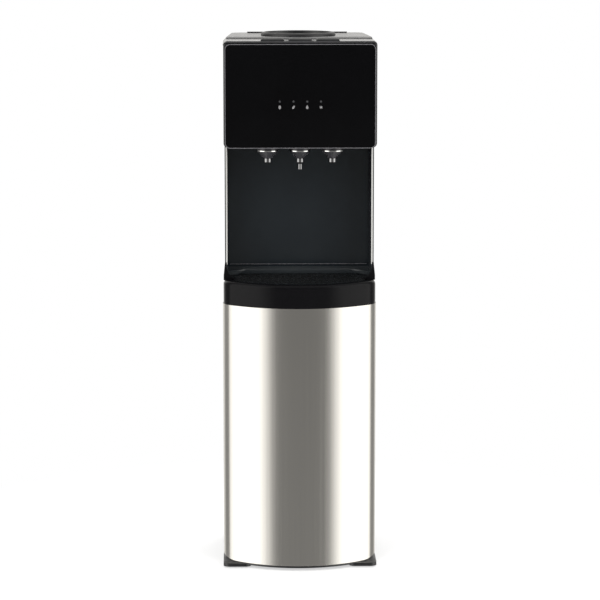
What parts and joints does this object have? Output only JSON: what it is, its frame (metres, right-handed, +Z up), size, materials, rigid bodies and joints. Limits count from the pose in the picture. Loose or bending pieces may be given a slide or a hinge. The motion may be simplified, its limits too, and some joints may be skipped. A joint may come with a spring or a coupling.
{
  "type": "top load water cooler",
  "caption": "Floor-standing water cooler for an upturned bottle, with push keys over its taps, a lift-out drip tray, hot and cold tanks and a refrigeration circuit.",
  "frame": {"origin": "centre of the footprint on the floor", "axes": "+Z up, the bowed front faces -Y, +X is on the right of a person who faces the front"},
  "size_m": [0.302, 0.3376, 1.06],
  "materials": {
    "front_steel": "satin, brushed upright",
    "black_steel": "fine satin powder coat",
    "zinc": "zinc plated sheet and wire",
    "tank_steel": "drawn stainless sheet",
    "copper": "bare copper tube",
    "gloss_black": "polished",
    "gloss_slate": "polished",
    "slate_plastic": "satin",
    "dark_grey": "semi-gloss",
    "grey_plastic": "satin",
    "black_plastic": "fine texture",
    "white_plastic": "moulded",
    "lens": "frosted, unlit",
    "board_green": "lacquered board",
    "foam": "bare rigid foam",
    "jacket": "felted wrap",
    "silicone": "milky, smooth",
    "rubber": "matte",
    "switch_red": "moulded",
    "switch_green": "moulded"
  },
  "bodies": {
    "cabinet": {"base_pan": "black_plastic", "rubber_feet": "rubber", "front_panel": "front_steel", "left_side_panel": "black_steel", "right_side_panel": "black_steel", "rear_panel": "zinc", "shelf": "gloss_black", "alcove_liner": "slate_plastic", "alcove_back_panel": "gloss_slate", "hood_frame": "dark_grey", "fascia_plate": "gloss_black", "indicator_lenses": "lens", "control_board": "board_green", "key_deck": "grey_plastic", "rear_deck": "grey_plastic", "key_bracket": "black_plastic", "key_shaft": "zinc", "hot_spring": "zinc", "ambient_spring": "zinc", "cold_spring": "zinc", "hot_tap": "black_plastic", "ambient_tap": "black_plastic", "cold_tap": "black_plastic", "tank_seal": "rubber", "tank_baffle": "white_plastic", "cold_tank": "tank_steel", "evaporator_coil": "copper", "tank_foam": "foam", "foam_support": "zinc", "hot_tank": "tank_steel", "heater_band": "zinc", "hot_tank_jacket": "jacket", "hot_tank_shelf": "zinc", "water_hoses": "silicone", "compressor": "black_steel", "compressor_grommets": "rubber", "relay_cover": "black_plastic", "suction_pipe": "copper", "discharge_pipe": "copper", "filter_dryer": "copper", "condenser_coil": "black_steel", "condenser_wires": "black_steel", "condenser_brackets": "zinc", "switch_bezels": "black_plastic", "drain_outlet": "black_plastic", "cord_gland": "black_plastic", "rear_screws": "zinc"},
    "hot_key": {"hot_key": "black_plastic"},
    "ambient_key": {"ambient_key": "black_plastic"},
    "cold_key": {"cold_key": "black_plastic"},
    "hot_rod": {"hot_rod": "white_plastic"},
    "ambient_rod": {"ambient_rod": "white_plastic"},
    "cold_rod": {"cold_rod": "white_plastic"},
    "drip_tray": {"drip_tray": "black_plastic"},
    "drip_grille": {"drip_grille": "black_plastic"},
    "collar": {"bottle_collar": "black_plastic", "water_guard": "white_plastic"},
    "heat_switch": {"heat_switch": "switch_red"},
    "cool_switch": {"cool_switch": "switch_green"},
    "drain_cap": {"drain_cap": "black_plastic"}
  },
  "joints": [
    {"name": "hot_key_hinge", "type": "hinge", "parent": "cabinet", "child": "hot_key", "pos_m": [-0.054, -0.09975, 1.04], "axis": [1, 0, 0], "range_deg": [0, 7], "stiffness_Nm_per_rad": 0.2, "springref_deg": -17.19},
    {"name": "hot_rod_slide", "type": "slide", "parent": "cabinet", "child": "hot_rod", "axis": [0, 0, -1], "range_m": [0, 0.0032], "deforming": ["hot_spring"]},
    {"name": "ambient_key_hinge", "type": "hinge", "parent": "cabinet", "child": "ambient_key", "pos_m": [0, -0.09975, 1.04], "axis": [1, 0, 0], "range_deg": [0, 7], "stiffness_Nm_per_rad": 0.2, "springref_deg": -17.19},
    {"name": "ambient_rod_slide", "type": "slide", "parent": "cabinet", "child": "ambient_rod", "axis": [0, 0, -1], "range_m": [0, 0.0032], "deforming": ["ambient_spring"]},
    {"name": "cold_key_hinge", "type": "hinge", "parent": "cabinet", "child": "cold_key", "pos_m": [0.054, -0.09975, 1.04], "axis": [1, 0, 0], "range_deg": [0, 7], "stiffness_Nm_per_rad": 0.2, "springref_deg": -17.19},
    {"name": "cold_rod_slide", "type": "slide", "parent": "cabinet", "child": "cold_rod", "axis": [0, 0, -1], "range_m": [0, 0.0032], "deforming": ["cold_spring"]},
    {"name": "tray_lift", "type": "slide", "parent": "cabinet", "child": "drip_tray", "axis": [0, 0, 1], "range_m": [0, 0.04]},
    {"name": "grille_lift", "type": "slide", "parent": "drip_tray", "child": "drip_grille", "axis": [0, 0, 1], "range_m": [0, 0.04]},
    {"name": "collar_lift", "type": "slide", "parent": "cabinet", "child": "collar", "axis": [0, 0, 1], "range_m": [0, 0.06]},
    {"name": "heat_switch_rock", "type": "hinge", "parent": "cabinet", "child": "heat_switch", "pos_m": [-0.112, 0.13125, 0.953], "axis": [1, 0, 0], "range_deg": [-18, 0]},
    {"name": "cool_switch_rock", "type": "hinge", "parent": "cabinet", "child": "cool_switch", "pos_m": [-0.084, 0.13125, 0.953], "axis": [1, 0, 0], "range_deg": [-18, 0]},
    {"name": "drain_cap_pull", "type": "slide", "parent": "cabinet", "child": "drain_cap", "axis": [0, 1, 0], "range_m": [0, 0.02]}
  ],
  "couplings": [
    {"joint": "hot_rod_slide", "follows": "hot_key_hinge", "m_per_rad": 0.026},
    {"joint": "ambient_rod_slide", "follows": "ambient_key_hinge", "m_per_rad": 0.026},
    {"joint": "cold_rod_slide", "follows": "cold_key_hinge", "m_per_rad": 0.026}
  ]
}
